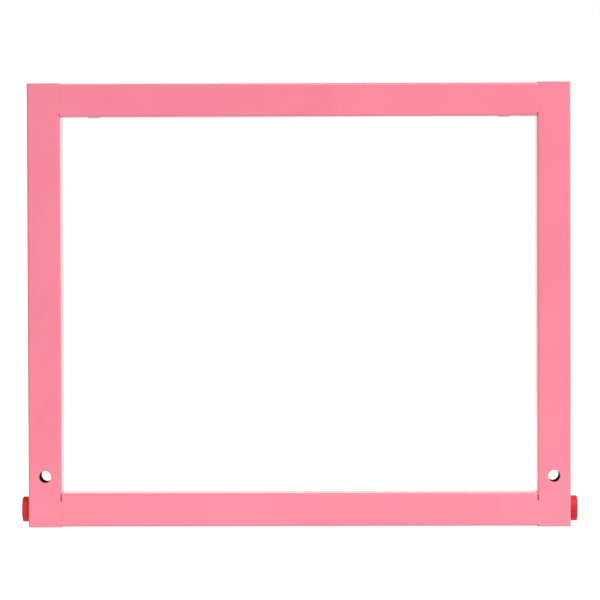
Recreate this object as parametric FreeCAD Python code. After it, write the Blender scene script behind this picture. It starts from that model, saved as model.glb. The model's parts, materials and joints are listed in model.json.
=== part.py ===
"""A rectangular frame of square steel tube, welded at its corners and powder coated. A steel axle
runs through its bottom rail, turns in a nylon bush in each upright, and ends in a push nut under a
round plastic cap. Millimetres. +X is to the right, the front faces -Y, +Z is up. The origin is on
the surface that the frame stands on, at the middle of its width and depth."""
import FreeCAD, Part
import math
import os

from FreeCAD import Vector

# Square tube
tube_side = 25.0
tube_wall = 1.5
tube_edge_radius = 1.8
tube_inside_radius = 0.5
rail_length = 358.0  # clear width of the window, between the uprights
window_height = 283.0  # clear height of the window, between the rails
upright_overhang = 0.5  # how far the uprights' ends stand past the rails

# Round holes through both walls of each upright, from front to back
cross_hole_radius = 4.5
cross_hole_above_axle = 25.0
hole_edge_break = 0.25

# Welds: the groove between a rail's end and an upright's round edge, filled and ground flush
weld_feather = 0.5  # the filler stops this far short of where the groove closes
top_weld_inner_gap = 0.6  # length of groove left open next to the window, past the rail's round edge
bottom_weld_inner_gap = 4.0

# Plastic plugs, pushed in flush with the ends of the uprights
plug_head = 2.0
plug_head_break = 0.25
plug_stem_gap = 0.8  # between the stem and the tube's inside
plug_stem_wall = 1.6
plug_rib = 0.8
plug_rib_count = 2
plug_bush_gap = 1.0

# Axle, which runs along the middle of the bottom rail
axle_radius = 4.0
axle_end_break = 0.6
axle_past_nut = 1.5

# Nylon bushes, pressed through both walls of each upright
running_clearance = 0.05
bush_wall = 1.95
bush_flange_lip = 1.5  # how far the flange stands out past the barrel
bush_flange = 1.0
bush_past_wall = 1.0
bush_lead_in = 0.4

# Push nuts: sprung washers with teeth that grip the axle
thrust_gap = 0.2
nut_width = 3.3  # from the axle to the nut's edge
nut_sheet = 0.6
nut_flat = 1.9  # width of its flat rim
nut_cone_rise = 0.8
nut_slots = 6
nut_slot_width = 0.9

# Round caps that cover the push nuts
cap_skirt_wall = 1.5
cap_wall_gap = 0.3
cap_flange_gap = 0.5
cap_shoulder = 0.9
cap_axle_gap = 0.3
cap_roof = 1.7
cap_edge_radius = 1.1
cap_crown = 0.45

# Threaded inserts in the underside of the top rail
insert_from_upright = 25.0
insert_thread_radius = 2.1
insert_clear_radius = 2.6
insert_wall = 0.9
insert_flange_lip = 1.15  # how far the flange stands out past the shank
insert_flange = 0.5
insert_fold_lip = 1.5
insert_fold = 2.4
insert_threaded_length = 6.5

# Places that follow from the sizes above
half_tube = tube_side / 2
inner_face = rail_length / 2  # distance from the middle to an upright's inner face
outer_face = inner_face + tube_side
upright_centre = inner_face + half_tube
rail_foot = upright_overhang  # the uprights stand on z = 0
bottom_rail_top = rail_foot + tube_side
top_rail_bottom = bottom_rail_top + window_height
top_rail_top = top_rail_bottom + tube_side
upright_top = top_rail_top + upright_overhang
axle_height = rail_foot + half_tube
cross_hole_height = axle_height + cross_hole_above_axle
bush_radius = axle_radius + running_clearance + bush_wall
bush_flange_radius = bush_radius + bush_flange_lip
nut_radius = axle_radius + nut_width
cap_skirt_inside = bush_flange_radius + cap_flange_gap
cap_radius = cap_skirt_inside + cap_skirt_wall
insert_shank_radius = insert_clear_radius + insert_wall
nut_face = outer_face + bush_flange + thrust_gap
axle_end = nut_face + nut_sheet + axle_past_nut

X_AXIS, Y_AXIS, Z_AXIS = Vector(1, 0, 0), Vector(0, 1, 0), Vector(0, 0, 1)
CENTRE = Vector(0, 0, 0)


def rounded_square(side, radius, height):
    """A square bar with round long edges, standing on z = 0 about the Z axis."""
    flat = side / 2 - radius
    slant = radius * math.sqrt(0.5)
    edges = []
    for quarter in range(4):
        turn = FreeCAD.Rotation(Z_AXIS, 90 * quarter)
        start, corner_start = Vector(side / 2, -flat, 0), Vector(side / 2, flat, 0)
        corner_middle = Vector(flat + slant, flat + slant, 0)
        corner_end = Vector(flat, side / 2, 0)
        points = [turn.multVec(p) for p in (start, corner_start, corner_middle, corner_end)]
        edges.append(Part.LineSegment(points[0], points[1]).toShape())
        edges.append(Part.Arc(*points[1:]).toShape())
    return Part.Face(Part.Wire(edges)).extrude(Vector(0, 0, height))


def square_tube(length):
    """A length of the tube, standing on z = 0 about the Z axis."""
    hollow = rounded_square(tube_side - 2 * tube_wall, tube_inside_radius, length)
    return rounded_square(tube_side, tube_edge_radius, length).cut(hollow)


def turned(profile, axis):
    """A full turn of a closed outline about one of the axes. The outline lies in the XZ plane."""
    wire = Part.Wire([edge if isinstance(edge, Part.Edge) else edge.toShape() for edge in profile])
    return Part.Face(wire).revolve(CENTRE, axis, 360)


def outline(points):
    """Straight edges round a closed outline, given as (x, z) points."""
    corners = [Vector(x, 0, z) for x, z in points]
    return [Part.LineSegment(a, b) for a, b in zip(corners, corners[1:] + corners[:1])]


def on_both_sides(right):
    """The left and right copies of a piece that is modelled on the right."""
    return {"left": right.mirror(CENTRE, X_AXIS), "right": right}


def upright():
    """The right upright, with its cross hole and the hole that its bush is pressed into."""
    tube = square_tube(upright_top)
    tube.translate(Vector(upright_centre, 0, 0))
    axis_point = Vector(upright_centre, -tube_side, cross_hole_height)
    tube = tube.cut(Part.makeCylinder(cross_hole_radius, 2 * tube_side, axis_point, Y_AXIS))
    broken_edge = cross_hole_radius + hole_edge_break
    for face, inward in ((-half_tube, Y_AXIS), (half_tube, -Y_AXIS)):
        mouth = Vector(upright_centre, face, cross_hole_height)
        tube = tube.cut(Part.makeCone(broken_edge, cross_hole_radius, hole_edge_break, mouth, inward))
    bush_start = Vector(inner_face - tube_side, 0, axle_height)
    return tube.cut(Part.makeCylinder(bush_radius, 3 * tube_side, bush_start, X_AXIS))


def rail(foot):
    """A rail whose underside is at height foot."""
    tube = square_tube(rail_length)
    tube.rotate(CENTRE, Y_AXIS, 90)
    tube.translate(Vector(-rail_length / 2, 0, foot + half_tube))
    return tube


def top_rail():
    """The top rail, with a round hole in its underside for each threaded insert."""
    tube = rail(top_rail_bottom)
    for side in (-1, 1):
        start = Vector(side * (inner_face - insert_from_upright), 0, top_rail_bottom - tube_wall)
        tube = tube.cut(Part.makeCylinder(insert_shank_radius, 3 * tube_wall, start))
    return tube


def weld(upright_tube, foot, low, high):
    """The filler between the right upright and the rail on height foot, front and back. It carries
    the rail's section on into the groove, between the heights low and high."""
    width = tube_edge_radius - weld_feather
    section = rounded_square(tube_side, tube_edge_radius, width)
    section.rotate(CENTRE, Y_AXIS, 90)
    section.translate(Vector(inner_face, 0, foot + half_tube))
    fillers = []
    for y in (-half_tube, half_tube - width):
        slab = Part.makeBox(width, width, high - low, Vector(inner_face, y, low))
        fillers.append(slab.common(section).cut(upright_tube))
    return Part.makeCompound([solid for filler in fillers for solid in filler.Solids])


def top_weld(upright_tube):
    low = top_rail_bottom + tube_edge_radius + top_weld_inner_gap
    return weld(upright_tube, top_rail_bottom, low, top_rail_top)


def bottom_weld(upright_tube):
    high = bottom_rail_top - tube_edge_radius - bottom_weld_inner_gap
    return weld(upright_tube, rail_foot, rail_foot, high)


def end_plug():
    """A plug with its head on z = 0 and its stem upwards: a short square sleeve with thin ribs."""
    inside = tube_side - 2 * tube_wall
    head = rounded_square(inside, tube_inside_radius, plug_head)
    rim = [edge for edge in head.Edges if edge.BoundBox.ZMax < plug_head / 2]
    head = head.makeChamfer(plug_head_break, rim)
    stem_side = inside - 2 * plug_stem_gap
    stem_length = axle_height - bush_radius - plug_bush_gap - plug_head
    stem = rounded_square(stem_side, tube_inside_radius, stem_length)
    for rib in range(plug_rib_count):
        plate = rounded_square(inside, tube_inside_radius, plug_rib)
        plate.translate(Vector(0, 0, stem_length * (rib + 0.5) / plug_rib_count - plug_rib / 2))
        stem = stem.fuse(plate)
    stem = stem.cut(rounded_square(stem_side - 2 * plug_stem_wall, tube_inside_radius, stem_length))
    stem.translate(Vector(0, 0, plug_head))
    return head.fuse(stem).removeSplitter()


def bottom_plug():
    plug = end_plug()
    plug.translate(Vector(upright_centre, 0, 0))
    return plug


def top_plug():
    plug = end_plug()
    plug.rotate(CENTRE, X_AXIS, 180)
    plug.translate(Vector(upright_centre, 0, upright_top))
    return plug


def cross_axle():
    """A plain round rod with broken ends."""
    rod = Part.makeCylinder(axle_radius, 2 * axle_end, Vector(-axle_end, 0, axle_height), X_AXIS)
    rims = [edge for edge in rod.Edges if isinstance(edge.Curve, Part.Circle)]
    return rod.makeChamfer(axle_end_break, rims)


def axle_bush():
    """The right bush: a flange outside the upright and a barrel through both of its walls."""
    bore = axle_radius + running_clearance
    inner_end = inner_face - bush_past_wall
    flange_face = outer_face + bush_flange
    points = [
        (inner_end, bore),
        (flange_face, bore),
        (flange_face, bush_flange_radius),
        (outer_face, bush_flange_radius),
        (outer_face, bush_radius),
        (inner_end + bush_lead_in, bush_radius),
        (inner_end, bush_radius - bush_lead_in),
    ]
    bush = turned(outline(points), X_AXIS)
    bush.translate(Vector(0, 0, axle_height))
    return bush


def push_nut():
    """The right push nut: a flat rim and a slotted cone whose teeth meet the axle."""
    cone_root = nut_radius - nut_flat
    points = [
        (nut_face, cone_root),
        (nut_face, nut_radius),
        (nut_face + nut_sheet, nut_radius),
        (nut_face + nut_sheet, cone_root),
        (nut_face + nut_sheet + nut_cone_rise, axle_radius),
        (nut_face + nut_cone_rise, axle_radius),
    ]
    nut = turned(outline(points), X_AXIS)
    for slot in range(nut_slots):
        cutter = Part.makeBox(
            nut_sheet + nut_cone_rise, nut_slot_width, cone_root, Vector(nut_face, -nut_slot_width / 2, 0)
        )
        cutter.rotate(CENTRE, X_AXIS, 360 / nut_slots * slot)
        nut = nut.cut(cutter)
    nut.translate(Vector(0, 0, axle_height))
    return nut


def axle_cap():
    """The right cap: a crowned round cover that is pressed over the push nut's rim."""
    mouth = outer_face + cap_wall_gap
    nut_front = nut_face + nut_sheet
    roof_inside = axle_end + cap_axle_gap
    rim = roof_inside + cap_roof
    shoulder_inside = nut_radius - cap_shoulder
    slant = cap_edge_radius * math.sqrt(0.5)
    edge_centre = (rim - cap_edge_radius, cap_radius - cap_edge_radius)
    crown_edge = Vector(rim, 0, edge_centre[1])
    edge_arc = Part.Arc(
        crown_edge,
        Vector(edge_centre[0] + slant, 0, edge_centre[1] + slant),
        Vector(edge_centre[0], 0, cap_radius),
    )
    # The crown's middle point lies on the circle through its edge and its top
    crown_radius = (edge_centre[1] ** 2 + cap_crown**2) / (2 * cap_crown)
    half_way = edge_centre[1] / 2
    crown_middle = rim + cap_crown - crown_radius + math.sqrt(crown_radius**2 - half_way**2)
    crown = Part.Arc(Vector(rim + cap_crown, 0, 0), Vector(crown_middle, 0, half_way), crown_edge)
    corners = [
        (edge_centre[0], cap_radius),
        (mouth, cap_radius),
        (mouth, cap_skirt_inside),
        (nut_face, cap_skirt_inside),
        (nut_face, nut_radius),
        (nut_front, nut_radius),
        (nut_front, shoulder_inside),
        (roof_inside, shoulder_inside),
        (roof_inside, 0),
        (rim + cap_crown, 0),
    ]
    inside = [
        Part.LineSegment(Vector(a, 0, b), Vector(c, 0, d))
        for (a, b), (c, d) in zip(corners, corners[1:])
    ]
    cap = turned([crown, edge_arc] + inside, X_AXIS)
    cap.translate(Vector(0, 0, axle_height))
    return cap


def threaded_insert():
    """The right insert: a thin flange below the rail's wall, a folded collar above it, then the
    threaded barrel."""
    flange_radius = insert_shank_radius + insert_flange_lip
    fold_radius = insert_shank_radius + insert_fold_lip
    flange_face = top_rail_bottom - insert_flange
    wall_top = top_rail_bottom + tube_wall
    fold_top = wall_top + insert_fold
    barrel_top = fold_top + insert_threaded_length
    points = [
        (insert_clear_radius, flange_face),
        (flange_radius, flange_face),
        (flange_radius, top_rail_bottom),
        (insert_shank_radius, top_rail_bottom),
        (insert_shank_radius, wall_top),
        (fold_radius, wall_top),
        (fold_radius, fold_top),
        (insert_shank_radius, fold_top),
        (insert_shank_radius, barrel_top),
        (insert_thread_radius, barrel_top),
        (insert_thread_radius, fold_top),
        (insert_clear_radius, fold_top),
    ]
    insert = turned(outline(points), Z_AXIS)
    insert.translate(Vector(inner_face - insert_from_upright, 0, 0))
    return insert


def build():
    """Every node's shape, by the node's name."""
    right_upright = upright()
    nodes = {"top_rail": top_rail(), "bottom_rail": rail(rail_foot), "cross_axle": cross_axle()}
    pairs = {
        "{}_upright": right_upright,
        "top_{}_weld": top_weld(right_upright),
        "bottom_{}_weld": bottom_weld(right_upright),
        "top_{}_plug": top_plug(),
        "bottom_{}_plug": bottom_plug(),
        "{}_axle_bush": axle_bush(),
        "{}_push_nut": push_nut(),
        "{}_axle_cap": axle_cap(),
        "{}_threaded_insert": threaded_insert(),
    }
    for name, shape in pairs.items():
        for side, copy in on_both_sides(shape).items():
            nodes[name.format(side)] = copy
    return nodes


os.makedirs("parts", exist_ok=True)
for node, shape in build().items():
    shape.exportStep(f"parts/{node}.step")
    solids = shape.Solids
    print(f"{node}: {len(solids)} solid(s), {shape.Volume:.1f} mm3, valid {shape.isValid()}")
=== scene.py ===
"""The looks of a welded square tube frame with a capped cross axle: powder coat, ground welds,
moulded caps and plugs, nylon bushes and plated steel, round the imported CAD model. Metres, in the
CAD frame: +X is to the right, the front faces -Y, +Z is up."""
import json
import math

import bmesh
import bpy
from mathutils import Matrix, Quaternion, Vector, noise


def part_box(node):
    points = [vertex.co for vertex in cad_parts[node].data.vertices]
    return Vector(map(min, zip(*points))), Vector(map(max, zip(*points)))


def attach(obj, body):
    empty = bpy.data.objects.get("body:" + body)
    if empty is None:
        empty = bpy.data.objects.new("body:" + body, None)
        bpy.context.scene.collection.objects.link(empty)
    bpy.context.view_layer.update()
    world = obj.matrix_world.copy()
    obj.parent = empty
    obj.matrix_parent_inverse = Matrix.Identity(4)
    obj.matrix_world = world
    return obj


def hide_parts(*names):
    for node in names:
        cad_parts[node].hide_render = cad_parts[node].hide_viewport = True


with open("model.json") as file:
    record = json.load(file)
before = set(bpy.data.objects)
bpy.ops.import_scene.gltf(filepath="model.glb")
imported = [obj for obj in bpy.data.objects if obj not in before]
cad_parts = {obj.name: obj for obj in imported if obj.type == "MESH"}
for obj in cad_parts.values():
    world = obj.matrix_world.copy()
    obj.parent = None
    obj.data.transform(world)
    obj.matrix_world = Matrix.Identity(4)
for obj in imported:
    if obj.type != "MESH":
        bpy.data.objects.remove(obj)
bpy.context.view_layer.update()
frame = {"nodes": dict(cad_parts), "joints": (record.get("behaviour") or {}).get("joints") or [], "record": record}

MM = 0.001
X_AXIS, Y_AXIS, Z_AXIS = Vector((1, 0, 0)), Vector((0, 1, 0)), Vector((0, 0, 1))

# Tube section, as in the CAD model
TUBE_WALL = 1.5 * MM
TUBE_EDGE_RADIUS = 1.8 * MM
TUBE_INSIDE_RADIUS = 0.5 * MM
TUBE_CORNER_STEPS = 10

# Holes in the tubes
HOLE_STEPS = 96
HOLE_RIM = 0.3 * MM
HOLE_RIM_STEPS = 6
BUSH_HOLE_RADIUS = 6.0 * MM
INSERT_HOLE_RADIUS = 3.5 * MM

# Welds, ground off after they are filled
WELD_STEPS_ACROSS = 12
WELD_STEP_LENGTH = 0.25 * MM
WELD_GRIND = 0.05 * MM  # least depth of the ground filler below the tubes' faces
WELD_WAVE = 0.10 * MM  # how much deeper it is in places
WELD_WAVE_LENGTH = 3.5 * MM
WELD_DISH = 0.7  # power of the dip across the filler: below 1, it is flatter in the middle
WELD_RUN_OUT = 0.35 * MM  # length over which the filler ends next to the window
WELD_SINK = 0.1 * MM  # how deep the filler's underside lies in the upright
WELD_PIT = 0.9 * MM  # length of the pit at the outer end of the worst weld
WELD_PIT_FILL = 0.3  # how far the pit is filled, from 0 to 1

# Caps
CAP_STEPS = 128
CAP_EDGE_RADIUS = 1.1 * MM
CAP_EDGE_STEPS = 8
CAP_CROWN = 0.45 * MM
CAP_CROWN_STEPS = 10
CAP_SKIRT_WALL = 1.5 * MM
CAP_MOUTH_RADIUS = 0.25 * MM
CAP_MOUTH_STEPS = 4
CAP_SHOULDER = 0.9 * MM  # how far the cap's seat covers the push nut's rim
CAP_AXLE_GAP = 0.3 * MM
CAP_GATE_RADIUS = 1.3 * MM  # the dimple where the plastic was let into the mould
CAP_GATE_DEPTH = 0.2 * MM
NUT_SHEET = 0.6 * MM

SMOOTH_ANGLE = math.radians(38)  # sharper corners keep a hard edge

# Steel that is ground under the coat, by distance from a seam
GROUND_WHOLLY = 2 * MM
GROUND_END = 9 * MM

# The largest part of the normal, where a round edge starts and where it counts as wholly an edge
EDGE_START, EDGE_WHOLE = 0.995, 0.72

# How strongly a tone shows: the coat's grain, and the painted shade on the coat's and the plugs' round edges
GRAIN_SHARE = 0.12
COAT_EDGE_SHADE_SHARE = 0.55
PLUG_EDGE_SHADE_SHARE = 0.7

# Where painted shade goes deep in the open stretches of the corner grooves
GROOVE_CORE = 0.45 * TUBE_EDGE_RADIUS  # across the groove, the painted shade is darkest up to here
GROOVE_SPAN = 0.75 * TUBE_EDGE_RADIUS  # and gone from here on
GROOVE_LIP = 0.05 * TUBE_EDGE_RADIUS  # down the groove, there is no painted shade up to here
GROOVE_THROAT = 0.3 * TUBE_EDGE_RADIUS  # and it is darkest from here on
GROOVE_BLUR = 0.05 * MM
GROOVE_END_BLUR = 0.2 * MM
GROOVE_FADE = 1.2 * MM  # the painted shade fades out over this length towards the rail's round edge
TOP_LEFT_SHARE = 0.3  # how strongly the painted shade shows at the top left corner
MIDDLE_BLUR = 1 * MM  # where the left corners' looks change to the right ones'
PIT_SHADE_CORE, PIT_SHADE_END = 0.9 * WELD_PIT, 1.3 * WELD_PIT  # painted shade in the weld pit, by height over the rail's foot

# Overspray inside the tubes, by distance from a cross hole's axis
SPRAY_FULL = 7 * MM
SPRAY_END = 16 * MM
SPRAY_RAGGED = 3 * MM
SPRAY_SHARE = 0.95

# Colours, in linear light
PINK_LIGHT = (0.766, 0.200, 0.273)
PINK_DEEP = (0.742, 0.186, 0.257)
PINK_GRAIN = (0.795, 0.255, 0.320)
# painted shade for the coat's round edges
PINK_EDGE_SHADE = (0.690, 0.150, 0.215)
# painted shade deep in the open corner grooves and the weld pit
GROOVE_SHADE = (0.300, 0.006, 0.040)
OVERSPRAY = (0.800, 0.015, 0.045)
MILL_DARK, MILL_LIGHT = (0.055, 0.036, 0.036), (0.095, 0.064, 0.064)
# the third plug tone is painted shade for the plugs' round edges
PLUG_PINK, PLUG_PINK_DEEP, PLUG_EDGE_SHADE = (0.70, 0.145, 0.210), (0.65, 0.125, 0.185), (0.45, 0.060, 0.100)
CAP_RED, CAP_RED_DEEP = (0.545, 0.021, 0.031), (0.495, 0.016, 0.025)
NYLON_DARK, NYLON_LIGHT = (0.80, 0.77, 0.68), (0.86, 0.84, 0.77)
ZINC_DARK, ZINC_LIGHT = (0.84, 0.84, 0.86), (0.92, 0.92, 0.94)
DRAWN_DARK, DRAWN_LIGHT = (0.46, 0.46, 0.47), (0.58, 0.58, 0.59)
SPRING_DARK, SPRING_LIGHT = (0.10, 0.10, 0.115), (0.20, 0.19, 0.20)
FLOOR_DARK, FLOOR_LIGHT = (0.28, 0.28, 0.28), (0.32, 0.32, 0.32)
WHITE = (1, 1, 1, 1)

# Camera
CAMERA_PLACE = Vector((0.0326, -2.53, 0.2282))
CAMERA_AIM = Vector((0.0007, 0.0, 0.1705))
CAMERA_ROLL = -0.0031
CAMERA_LENS = 201.2
CAMERA_CLIP = (0.1, 60)
SENSOR_WIDTH = 36.0

# Floor. The glossy coat mirrors its front edge as a step of brightness near the cross holes
FLOOR_HALF_WIDTH = 1.4
FLOOR_FRONT = -0.62
FLOOR_BACK = 1.4
FLOOR_DROP = 0.1 * MM  # keeps the floor clear of the feet's faces
FLOOR_GLOW = 0.88

# Light. Each softbox has a place, a width, a height and a radiance
AIR_LIGHT = 0.45
LIGHT_AIM = Vector((0, 0, 0.17))
SOFTBOXES = {
    "key_softbox": ((0.98, -1.68, 2.47), 2.0, 2.0, 7.6),
    "right_softbox": ((3.2, -0.4, 0.8), 2.4, 1.6, 1.2),
    "left_softbox": ((-3.2, -0.4, 0.8), 2.4, 1.6, 0.7),
    "back_softbox": ((0, 4.0, 1.0), 6.0, 3.6, 0.6),
}


def mount(name):
    return next(m for m in frame["record"]["mounts"] if m["name"] == name)


def make_camera():
    data = bpy.data.cameras.new("camera")
    data.lens = CAMERA_LENS
    data.sensor_width = SENSOR_WIDTH
    data.clip_start, data.clip_end = CAMERA_CLIP
    camera = bpy.data.objects.new("camera", data)
    bpy.context.scene.collection.objects.link(camera)
    camera.location = CAMERA_PLACE
    look = (CAMERA_AIM - CAMERA_PLACE).to_track_quat("-Z", "Y")
    camera.rotation_mode = "QUATERNION"
    camera.rotation_quaternion = look @ Quaternion((0, 0, 1), CAMERA_ROLL)
    bpy.context.scene.camera = camera


make_camera()

# ---------------------------------------------------------------- materials


class Nodes:
    """A new material, with short calls that add nodes to it and return their outputs."""

    def __init__(self, name):
        self.material = bpy.data.materials.new(name)
        self.material.use_nodes = True
        self.tree = self.material.node_tree
        self.shader = self.tree.nodes["Principled BSDF"]

    def add(self, kind, inputs=(), output=0, **settings):
        """Adds a node. inputs is pairs of a socket and the value or the output that feeds it."""
        node = self.tree.nodes.new(kind)
        for setting, value in settings.items():
            setattr(node, setting, value)
        for socket, value in inputs:
            if isinstance(value, bpy.types.NodeSocket):
                self.tree.links.new(value, node.inputs[socket])
            else:
                node.inputs[socket].default_value = value
        return node.outputs[output]

    def place(self):
        return self.add("ShaderNodeTexCoord", output="Object")

    def stretched(self, scale):
        """The place, scaled along each axis."""
        return self.add("ShaderNodeMapping", [("Vector", self.place()), ("Scale", scale)])

    def parts(self, vector):
        """The X, Y and Z parts of a vector."""
        return tuple(self.add("ShaderNodeSeparateXYZ", [(0, vector)]).node.outputs)

    def noise(self, scale, detail=2.0, rough=0.5, vector=None):
        inputs = [
            ("Vector", vector or self.place()),
            ("Scale", scale),
            ("Detail", detail),
            ("Roughness", rough),
        ]
        return self.add("ShaderNodeTexNoise", inputs, output="Fac")

    def spread(self, value, low, high, out_low=0.0, out_high=1.0):
        """Maps low..high to out_low..out_high, smoothly and without going past them."""
        inputs = [
            ("Value", value),
            ("From Min", low),
            ("From Max", high),
            ("To Min", out_low),
            ("To Max", out_high),
        ]
        return self.add("ShaderNodeMapRange", inputs, interpolation_type="SMOOTHSTEP")

    def math(self, operation, first, second=0.0):
        return self.add("ShaderNodeMath", [(0, first), (1, second)], operation=operation)

    def absolute(self, value):
        return self.math("ABSOLUTE", value)

    def product(self, first, *others):
        for other in others:
            first = self.math("MULTIPLY", first, other)
        return first

    def mix(self, factor, first, second):
        """A colour between first and second. Each is a colour or an output."""
        mixer = self.tree.nodes.new("ShaderNodeMix")
        mixer.data_type = "RGBA"
        factor_in, first_in, second_in = (mixer.inputs[k] for k in (0, 6, 7))
        for socket, value in ((factor_in, factor), (first_in, first), (second_in, second)):
            if isinstance(value, bpy.types.NodeSocket):
                self.tree.links.new(value, socket)
            else:
                socket.default_value = value if socket == factor_in else (*value, 1)
        return mixer.outputs[2]

    def bump(self, height, distance, under=None):
        inputs = [("Height", height), ("Distance", distance), ("Strength", 1.0)]
        if under is not None:
            inputs.append(("Normal", under))
        return self.add("ShaderNodeBump", inputs)

    def finish(self, color, roughness, normal=None, metallic=0.0, ior=1.5):
        self.tree.links.new(color, self.shader.inputs["Base Color"])
        self.tree.links.new(roughness, self.shader.inputs["Roughness"])
        if normal is not None:
            self.tree.links.new(normal, self.shader.inputs["Normal"])
        self.shader.inputs["Metallic"].default_value = metallic
        self.shader.inputs["IOR"].default_value = ior
        return self.material


def edge_shade_mask(nodes):
    """Where painted shade goes on round edges: 0 on faces that look along an axis, 1 where the surface turns
    halfway between two.
    """
    normal = nodes.add("ShaderNodeTexCoord", output="Normal")
    x, y, z = nodes.parts(nodes.add("ShaderNodeVectorMath", [(0, normal)], operation="ABSOLUTE"))
    widest = nodes.math("MAXIMUM", nodes.math("MAXIMUM", x, y), z)
    return nodes.spread(widest, EDGE_START, EDGE_WHOLE)


def near_weld_mask(nodes):
    """1 on the seams between the uprights and the rails, fading to 0 where the grinder stopped."""
    seam_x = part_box("right_upright")[0].x
    x, _, _ = nodes.parts(nodes.place())
    across = nodes.absolute(nodes.math("SUBTRACT", nodes.absolute(x), seam_x))
    return nodes.spread(across, GROUND_WHOLLY, GROUND_END, 1.0, 0.0)


def open_stretch(nodes, z, weld_end, rail_face):
    """1 along a corner groove, from where its weld ends to the rail's round edge."""
    toward = math.copysign(1, rail_face - weld_end)
    blur = toward * GROOVE_END_BLUR
    past_weld = nodes.spread(z, weld_end - blur, weld_end + blur)
    edge = rail_face - toward * TUBE_EDGE_RADIUS
    before_edge = nodes.spread(z, edge + toward * GROOVE_FADE, edge)
    return nodes.product(past_weld, before_edge)


def groove_shade_mask(nodes):
    """Painted shade: 1 deep in the parts of the corner grooves that no weld fills, and in the weld pit."""
    upright_low, upright_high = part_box("right_upright")
    rail_low, rail_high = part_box("bottom_rail")
    x, y, z = nodes.parts(nodes.place())
    across = nodes.math("SUBTRACT", nodes.absolute(x), upright_low.x)
    depth = nodes.math("SUBTRACT", upright_high.y, nodes.absolute(y))
    narrow = nodes.product(
        nodes.spread(across, -GROOVE_BLUR, 0.0),
        nodes.spread(across, GROOVE_SPAN, GROOVE_CORE),
    )
    deep = nodes.product(
        nodes.spread(depth, GROOVE_LIP, GROOVE_THROAT),
        nodes.spread(depth, TUBE_EDGE_RADIUS + GROOVE_LIP, TUBE_EDGE_RADIUS),
    )
    bottom = open_stretch(nodes, z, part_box("bottom_right_weld")[1].z, rail_high.z)
    top = open_stretch(nodes, z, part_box("top_right_weld")[0].z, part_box("top_rail")[0].z)
    top_share = nodes.spread(x, -MIDDLE_BLUR, MIDDLE_BLUR, TOP_LEFT_SHARE, 1.0)
    pit = nodes.product(
        nodes.spread(x, 0.0, MIDDLE_BLUR),
        nodes.spread(z, rail_low.z + PIT_SHADE_END, rail_low.z + PIT_SHADE_CORE),
        nodes.spread(z, rail_low.z - GROOVE_BLUR, rail_low.z),
    )
    along = nodes.math("ADD", nodes.math("ADD", bottom, nodes.product(top, top_share)), pit)
    return nodes.product(narrow, deep, along)


def powder_coat():
    """Glossy pink powder: fine orange peel, slow changes of film, ground patches at the welds, and painted shade
    on the round edges and deep in the open corner grooves.
    """
    nodes = Nodes("powder_coat")
    film = nodes.noise(14, 3, 0.55)
    grain = nodes.noise(1900, 1)
    tone = nodes.mix(nodes.spread(film, 0.35, 0.65), PINK_LIGHT, PINK_DEEP)
    tone = nodes.mix(nodes.spread(grain, 0.35, 0.8, 0.0, GRAIN_SHARE), tone, PINK_GRAIN)
    # painted shade on the coat's round edges
    tone = nodes.mix(nodes.product(edge_shade_mask(nodes), COAT_EDGE_SHADE_SHARE), tone, PINK_EDGE_SHADE)
    # painted shade deep in the open corner grooves and the weld pit
    tone = nodes.mix(groove_shade_mask(nodes), tone, GROOVE_SHADE)
    peel = nodes.bump(nodes.noise(620, 2, 0.4), 0.035 * MM)
    ground = nodes.product(nodes.noise(260, 2, 0.5), near_weld_mask(nodes))
    normal = nodes.bump(ground, 0.12 * MM, under=peel)
    rough = nodes.spread(nodes.noise(90, 2), 0.3, 0.7, 0.11, 0.16)
    return nodes.finish(tone, rough, normal, ior=1.52)


def tube_inside():
    """Mill steel inside the tubes: dark and oily, with overspray round the cross holes."""
    nodes = Nodes("tube_inside")
    hole_x, _, hole_z = mount("right_cross_hole")["pos_m"]
    x, _, z = nodes.parts(nodes.place())
    across = nodes.math("SUBTRACT", nodes.absolute(x), hole_x)
    up = nodes.math("SUBTRACT", z, hole_z)
    squares = [nodes.math("POWER", part, 2.0) for part in (across, up)]
    away = nodes.math("SQRT", nodes.math("ADD", *squares))
    ragged = nodes.math("ADD", away, nodes.product(nodes.noise(400, 2), SPRAY_RAGGED))
    spray = nodes.spread(ragged, SPRAY_FULL, SPRAY_END, SPRAY_SHARE, 0.0)
    mottle = nodes.noise(120, 4, 0.6)
    tone = nodes.mix(spray, nodes.mix(mottle, MILL_DARK, MILL_LIGHT), OVERSPRAY)
    rough = nodes.spread(mottle, 0.3, 0.7, 0.6, 0.8)
    return nodes.finish(tone, rough, nodes.bump(mottle, 0.05 * MM))


def plug_plastic():
    """Satin moulded polyethylene in the coat's pink, with a fine spark-eroded grain and painted shade on its round
    edges.
    """
    nodes = Nodes("plug_plastic")
    grain = nodes.noise(1300, 3, 0.6)
    flow = nodes.noise(60, 2)
    tone = nodes.mix(nodes.spread(flow, 0.3, 0.7), PLUG_PINK, PLUG_PINK_DEEP)
    # painted shade on the plug's round edges
    tone = nodes.mix(nodes.product(edge_shade_mask(nodes), PLUG_EDGE_SHADE_SHARE), tone, PLUG_EDGE_SHADE)
    rough = nodes.spread(grain, 0.3, 0.7, 0.46, 0.58)
    return nodes.finish(tone, rough, nodes.bump(grain, 0.03 * MM), ior=1.51)


def cap_plastic():
    """Satin red moulded plastic, with faint flow marks and fine scuffs."""
    nodes = Nodes("cap_plastic")
    flow = nodes.noise(180, 3, 0.55)
    tone = nodes.mix(nodes.spread(flow, 0.3, 0.7), CAP_RED, CAP_RED_DEEP)
    scuffs = nodes.noise(1.0, 3, 0.6, vector=nodes.stretched((900, 2600, 2600)))
    rough = nodes.spread(scuffs, 0.45, 0.75, 0.50, 0.62)
    nodes.shader.inputs["Specular IOR Level"].default_value = 0.3
    return nodes.finish(tone, rough, nodes.bump(flow, 0.02 * MM), ior=1.40)


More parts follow.
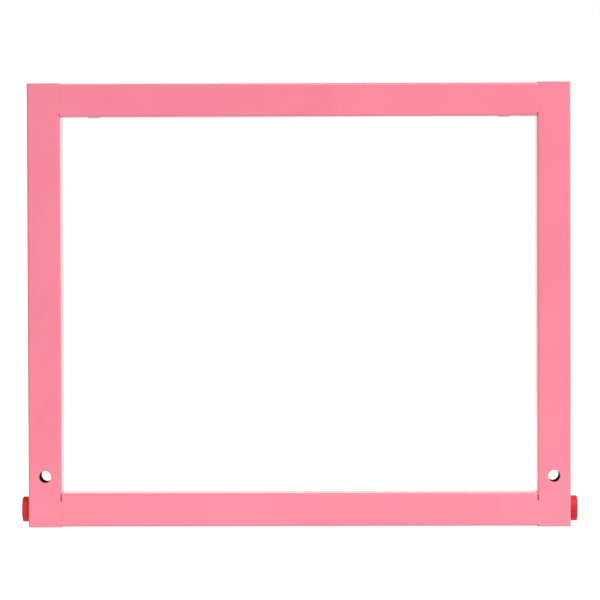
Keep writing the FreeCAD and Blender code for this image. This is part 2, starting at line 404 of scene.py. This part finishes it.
def bush_nylon():
    """Natural moulded nylon: off-white, waxy, a little uneven."""
    nodes = Nodes("bush_nylon")
    cloud = nodes.noise(150, 3)
    tone = nodes.mix(cloud, NYLON_DARK, NYLON_LIGHT)
    rough = nodes.spread(cloud, 0.3, 0.7, 0.38, 0.5)
    return nodes.finish(tone, rough, nodes.bump(nodes.noise(900, 2), 0.01 * MM), ior=1.53)


def plated_steel():
    """Pale, frosted zinc plate over turned steel."""
    nodes = Nodes("plated_steel")
    spangle = nodes.noise(500, 3, 0.6)
    tone = nodes.mix(spangle, ZINC_DARK, ZINC_LIGHT)
    rough = nodes.spread(spangle, 0.3, 0.7, 0.38, 0.52)
    return nodes.finish(tone, rough, nodes.bump(spangle, 0.01 * MM), metallic=0.5)


def axle_steel():
    """Bright drawn rod: fine lines along its length."""
    nodes = Nodes("axle_steel")
    lines = nodes.noise(1.0, 2, 0.5, vector=nodes.stretched((25, 3200, 3200)))
    tone = nodes.mix(lines, DRAWN_DARK, DRAWN_LIGHT)
    rough = nodes.spread(lines, 0.3, 0.7, 0.24, 0.36)
    return nodes.finish(tone, rough, nodes.bump(lines, 0.01 * MM), metallic=1.0)


def spring_steel():
    """Hardened, oiled spring steel."""
    nodes = Nodes("spring_steel")
    mottle = nodes.noise(420, 3, 0.6)
    tone = nodes.mix(mottle, SPRING_DARK, SPRING_LIGHT)
    rough = nodes.spread(mottle, 0.3, 0.7, 0.34, 0.5)
    return nodes.finish(tone, rough, nodes.bump(mottle, 0.01 * MM), metallic=1.0)


POWDER_COAT, TUBE_INSIDE = powder_coat(), tube_inside()
CAP_PLASTIC = cap_plastic()
SLOT_MATERIALS = {
    "powder_coat": POWDER_COAT,
    "cap_plastic": CAP_PLASTIC,
    "plug_plastic": plug_plastic(),
    "bush_nylon": bush_nylon(),
    "plated_steel": plated_steel(),
    "axle_steel": axle_steel(),
    "spring_steel": spring_steel(),
}
for subpart in frame["record"]["subparts"]:
    for material_slot in frame["nodes"][subpart["node"]].material_slots:
        material_slot.material = SLOT_MATERIALS[subpart["material_slot"]]

# ---------------------------------------------------------------- mesh helpers


def mesh_object(name, bm, materials):
    bmesh.ops.recalc_face_normals(bm, faces=bm.faces)
    mesh = bpy.data.meshes.new(name)
    bm.to_mesh(mesh)
    bm.free()
    for material in materials:
        mesh.materials.append(material)
    piece = bpy.data.objects.new(name, mesh)
    bpy.context.scene.collection.objects.link(piece)
    return piece


def apply_modifiers(piece):
    evaluated = piece.evaluated_get(bpy.context.evaluated_depsgraph_get())
    mesh = bpy.data.meshes.new_from_object(evaluated)
    piece.modifiers.clear()
    piece.data = mesh


def cut(piece, cutters):
    """Cuts the cutters out of the piece, and deletes them."""
    for cutter in cutters:
        modifier = piece.modifiers.new("cut", "BOOLEAN")
        modifier.operation = "DIFFERENCE"
        modifier.solver = "EXACT"
        modifier.object = cutter
    apply_modifiers(piece)
    for cutter in cutters:
        bpy.data.objects.remove(cutter)


def smooth(piece):
    """Smooth shading that keeps flat faces flat, with a break at real corners."""
    piece.data.shade_smooth()
    piece.data.set_sharp_from_angle(angle=SMOOTH_ANGLE)
    weighted = piece.modifiers.new("weighted", "WEIGHTED_NORMAL")
    weighted.keep_sharp = True
    apply_modifiers(piece)


def arc(centre, radius, start, end, steps):
    """Points along an arc in a plane, from angle start to angle end."""
    points = []
    for step in range(steps + 1):
        angle = start + (end - start) * step / steps
        points.append((centre[0] + radius * math.cos(angle), centre[1] + radius * math.sin(angle)))
    return points


def lay_along(axis, place):
    """The matrix that turns +Z to the axis and moves the origin to the place."""
    return Matrix.Translation(place) @ axis.to_track_quat("Z", "Y").to_matrix().to_4x4()


def turned(name, profile, place, axis, steps, materials):
    """A full turn of a profile of (along, radius) points that starts and ends on the axis."""
    angles = [2 * math.pi * step / steps for step in range(steps)]
    bm = bmesh.new()
    rings = []
    for along, radius in profile:
        if radius == 0:
            rings.append([bm.verts.new((0, 0, along))] * steps)
        else:
            ring = [(radius * math.cos(angle), radius * math.sin(angle), along) for angle in angles]
            rings.append([bm.verts.new(point) for point in ring])
    for ring, following in zip(rings, rings[1:]):
        for k in range(steps):
            corners = (ring[k], ring[(k + 1) % steps], following[(k + 1) % steps], following[k])
            bm.faces.new(list(dict.fromkeys(corners)))
    bm.transform(lay_along(axis, place))
    return mesh_object(name, bm, materials)


def show(piece, body, slot, *nodes):
    """Gives a finished piece its body, and hides the CAD nodes it stands for. The slot is not used."""
    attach(piece, body)
    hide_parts(*nodes)


# ---------------------------------------------------------------- tubes


def rounded_square(side, radius):
    """Points round a square with round corners, about the origin."""
    flat = side / 2 - radius
    points = []
    for quarter in range(4):
        start = quarter * math.pi / 2
        centre = Matrix.Rotation(start, 2) @ Vector((flat, flat))
        points += arc(centre, radius, start, start + math.pi / 2, TUBE_CORNER_STEPS)
    return points


def tube(name, low, high, axis):
    """A square tube that fills the box from low to high along the axis."""
    sides = high - low
    half_length = sides.dot(axis) / 2
    outside = rounded_square(sides.y, TUBE_EDGE_RADIUS)
    inside = rounded_square(sides.y - 2 * TUBE_WALL, TUBE_INSIDE_RADIUS)
    bm = bmesh.new()
    outer, inner = (
        [[bm.verts.new((x, y, end)) for x, y in loop] for end in (-half_length, half_length)]
        for loop in (outside, inside)
    )
    materials = (POWDER_COAT, TUBE_INSIDE)
    strips = [
        (outer[0], outer[1], POWDER_COAT),
        (inner[0], inner[1], TUBE_INSIDE),
        (outer[0], inner[0], POWDER_COAT),
        (outer[1], inner[1], POWDER_COAT),
    ]
    for first, second, material in strips:
        for k in range(len(first)):
            after = (k + 1) % len(first)
            face = bm.faces.new((first[k], first[after], second[after], second[k]))
            face.material_index = materials.index(material)
    bm.transform(lay_along(axis, (low + high) / 2))
    return mesh_object(name, bm, materials)


def plain_cutter(centre, axis, radius, reach):
    profile = [(-reach, 0), (-reach, radius), (reach, radius), (reach, 0)]
    return turned("cutter", profile, centre, axis, HOLE_STEPS, (POWDER_COAT,))


def rimmed_cutter(centre, axis, radius, half_depth):
    """A cutter for a round hole right through a tube, which rounds its mouth at both faces."""
    wide = radius + HOLE_RIM
    rim = arc((-half_depth + HOLE_RIM, wide), HOLE_RIM, math.pi, 1.5 * math.pi, HOLE_RIM_STEPS)
    profile = [(-2 * half_depth, 0), (-2 * half_depth, wide)] + rim
    profile += [(-along, away) for along, away in reversed(profile)]
    return turned("cutter", profile, centre, axis, HOLE_STEPS, (POWDER_COAT,))


def make_upright(side):
    node = side + "_upright"
    low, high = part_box(node)
    piece = tube(node + "_tube", low, high, Z_AXIS)
    hole = mount(side + "_cross_hole")
    hole_centre = Vector((hole["pos_m"][0], 0, hole["pos_m"][2]))
    axle_centre = Vector((hole_centre.x, 0, frame["joints"][0]["pos_m"][2]))
    cutters = [
        rimmed_cutter(hole_centre, Y_AXIS, hole["dims"]["r_mm"] * MM, high.y),
        plain_cutter(axle_centre, X_AXIS, BUSH_HOLE_RADIUS, high.x - low.x),
    ]
    cut(piece, cutters)
    smooth(piece)
    show(piece, "frame", "powder_coat", node)


def make_rail(level):
    node = level + "_rail"
    low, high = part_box(node)
    piece = tube(node + "_tube", low, high, X_AXIS)
    if level == "top":
        inserts = [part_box(side + "_threaded_insert") for side in ("left", "right")]
        feet = [Vector(((start.x + end.x) / 2, 0, low.z)) for start, end in inserts]
        cut(piece, [plain_cutter(foot, Z_AXIS, INSERT_HOLE_RADIUS, 3 * TUBE_WALL) for foot in feet])
    smooth(piece)
    show(piece, "frame", "powder_coat", node)


# ---------------------------------------------------------------- welds


def edge_depth(away):
    """Depth of a tube's round edge below its face, at a distance away from the side next to it."""
    slope = max(TUBE_EDGE_RADIUS - away, 0.0)
    return TUBE_EDGE_RADIUS - math.sqrt(max(TUBE_EDGE_RADIUS**2 - slope**2, 0.0))


def weld_station(bm, seam_x, outward, face_y, z, from_rail_edge, fill):
    """One cross-section of a ground weld: its face from the rail's end to where the upright is
    flat, then its underside back along the upright's round edge. The face carries on the rail's
    round edge. fill is 1 along the weld, and 0 where it has run out."""
    inward = -math.copysign(1, face_y)
    top, bottom = [], []
    for step in range(WELD_STEPS_ACROSS + 1):
        share = step / WELD_STEPS_ACROSS
        across = TUBE_EDGE_RADIUS * share
        x = seam_x + outward * across
        groove = edge_depth(across)
        wave = 0.5 + 0.5 * noise.noise(Vector((x, face_y, z)) / WELD_WAVE_LENGTH)
        dip = (WELD_GRIND + WELD_WAVE * wave) * math.sin(math.pi * share) ** WELD_DISH
        ground = max(dip, edge_depth(from_rail_edge))
        depth = min(ground * fill + groove * (1 - fill), groove + WELD_SINK)
        top.append(bm.verts.new((x, face_y + inward * depth, z)))
        bottom.append(bm.verts.new((x, face_y + inward * (groove + 2 * WELD_SINK), z)))
    return top + bottom[::-1]


def make_weld(level, side):
    node = level + "_" + side + "_weld"
    low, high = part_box(node)
    upright_low, upright_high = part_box(side + "_upright")
    outward = 1 if side == "right" else -1
    seam_x = upright_low.x if side == "right" else upright_high.x
    inner_z, outer_z = (low.z, high.z) if level == "top" else (high.z, low.z)
    pit = WELD_PIT if node == "bottom_right_weld" else 0.0
    count = math.ceil((high.z - low.z) / WELD_STEP_LENGTH)
    bm = bmesh.new()
    for face_y in (upright_low.y, upright_high.y):
        stations = []
        for step in range(count + 1):
            z = low.z + (high.z - low.z) * step / count
            from_rail_edge = abs(z - outer_z)
            filled = min(abs(z - inner_z) / WELD_RUN_OUT, 1.0)
            if from_rail_edge < pit:
                filled = WELD_PIT_FILL
            fill = math.sin(math.pi / 2 * filled)
            stations.append(weld_station(bm, seam_x, outward, face_y, z, from_rail_edge, fill))
        around = len(stations[0])
        for station, following in zip(stations, stations[1:]):
            for k in range(around):
                after = (k + 1) % around
                bm.faces.new((station[k], station[after], following[after], following[k]))
        bm.faces.new(stations[0])
        bm.faces.new(stations[-1])
    piece = mesh_object(node + "_ground", bm, (POWDER_COAT,))
    smooth(piece)
    show(piece, "frame", "powder_coat", node)


# ---------------------------------------------------------------- caps


def cap_outside(top, mouth, radius):
    """A cap's outer outline, of (along, radius) points: gate mark, crown, round edge and skirt."""
    crown_edge = radius - CAP_EDGE_RADIUS
    crown_radius = (crown_edge**2 + CAP_CROWN**2) / (2 * CAP_CROWN)

    def crown_at(away):
        return top - crown_radius + math.sqrt(crown_radius**2 - away**2)

    def gate_point(depth_share, radius_share):
        return crown_at(0) - depth_share * CAP_GATE_DEPTH, radius_share * CAP_GATE_RADIUS

    outline = [gate_point(1, 0), gate_point(1, 0.6), gate_point(0.5, 0.85)]
    for step in range(CAP_CROWN_STEPS):
        away = CAP_GATE_RADIUS + (crown_edge - CAP_GATE_RADIUS) * step / CAP_CROWN_STEPS
        outline.append((crown_at(away), away))
    edge_centre = (top - CAP_CROWN - CAP_EDGE_RADIUS, crown_edge)
    outline += arc(edge_centre, CAP_EDGE_RADIUS, 0, math.pi / 2, CAP_EDGE_STEPS)
    mouth_centre = (mouth + CAP_MOUTH_RADIUS, radius - CAP_MOUTH_RADIUS)
    outline += arc(mouth_centre, CAP_MOUTH_RADIUS, math.pi / 2, math.pi, CAP_MOUTH_STEPS)
    return outline


def make_cap(side):
    """A crowned cap on its axis, with a hollow skirt and the seat for the push nut inside."""
    node = side + "_axle_cap"
    outward = 1 if side == "right" else -1
    low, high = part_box(node)
    nut_low, nut_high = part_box(side + "_push_nut")
    mouth, top = sorted((abs(low.x), abs(high.x)))
    radius = (high.z - low.z) / 2
    skirt_inside = radius - CAP_SKIRT_WALL
    nut_face = min(abs(nut_low.x), abs(nut_high.x))
    nut_front = nut_face + NUT_SHEET
    nut_radius = (nut_high.z - nut_low.z) / 2
    roof_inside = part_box("cross_axle")[1].x + CAP_AXLE_GAP
    inside = [
        (mouth, skirt_inside),
        (nut_face, skirt_inside),
        (nut_face, nut_radius),
        (nut_front, nut_radius),
        (nut_front, nut_radius - CAP_SHOULDER),
        (roof_inside, nut_radius - CAP_SHOULDER),
        (roof_inside, 0),
    ]
    profile = cap_outside(top, mouth, radius) + inside
    centre = Vector((0, 0, (low.z + high.z) / 2))
    piece = turned(node + "_moulding", profile, centre, outward * X_AXIS, CAP_STEPS, (CAP_PLASTIC,))
    smooth(piece)
    show(piece, "axle", "cap_plastic", node)


for side in ("left", "right"):
    make_upright(side)
    make_cap(side)
    for level in ("top", "bottom"):
        make_weld(level, side)
for level in ("top", "bottom"):
    make_rail(level)

# ---------------------------------------------------------------- floor, light and air


def make_floor():
    bm = bmesh.new()
    width, depth = (-FLOOR_HALF_WIDTH, FLOOR_HALF_WIDTH), (FLOOR_FRONT, FLOOR_BACK)
    corners = [(width[0], depth[0]), (width[1], depth[0]), (width[1], depth[1]), (width[0], depth[1])]
    bm.faces.new([bm.verts.new((x, y, -FLOOR_DROP)) for x, y in corners])
    nodes = Nodes("floor")
    shade = nodes.noise(3, 2)
    nodes.finish(nodes.mix(shade, FLOOR_DARK, FLOOR_LIGHT), nodes.spread(shade, 0, 1, 0.8, 0.9))
    nodes.shader.inputs["Emission Color"].default_value = WHITE
    nodes.shader.inputs["Emission Strength"].default_value = FLOOR_GLOW
    nodes.shader.inputs["Specular IOR Level"].default_value = 0.0
    floor = mesh_object("floor", bm, (nodes.material,))


def make_softbox(name, place, width, height, radiance):
    """A rectangular light that the camera doesn't see."""
    data = bpy.data.lights.new(name, "AREA")
    data.shape = "RECTANGLE"
    data.size, data.size_y = width, height
    data.energy = radiance * math.pi * width * height
    light = bpy.data.objects.new(name, data)
    bpy.context.scene.collection.objects.link(light)
    light.location = place
    light.rotation_mode = "QUATERNION"
    light.rotation_quaternion = (LIGHT_AIM - Vector(place)).to_track_quat("-Z", "Y")
    light.visible_camera = False


def make_world():
    """White to the camera, and dimmer as a light, so that the softboxes shape the object."""
    world = bpy.data.worlds.new("studio")
    world.use_nodes = True
    bpy.context.scene.world = world
    tree = world.node_tree
    seen = tree.nodes["Background"]
    lit = tree.nodes.new("ShaderNodeBackground")
    for background, strength in ((seen, 1.0), (lit, AIR_LIGHT)):
        background.inputs["Color"].default_value = WHITE
        background.inputs["Strength"].default_value = strength
    path = tree.nodes.new("ShaderNodeLightPath")
    mixer = tree.nodes.new("ShaderNodeMixShader")
    tree.links.new(path.outputs["Is Camera Ray"], mixer.inputs[0])
    tree.links.new(lit.outputs[0], mixer.inputs[1])
    tree.links.new(seen.outputs[0], mixer.inputs[2])
    tree.links.new(mixer.outputs[0], tree.nodes["World Output"].inputs["Surface"])


make_floor()
make_world()
for name, settings in SOFTBOXES.items():
    make_softbox(name, *settings)
bpy.context.scene.view_settings.view_transform = "Standard"

bpy.context.view_layer.update()
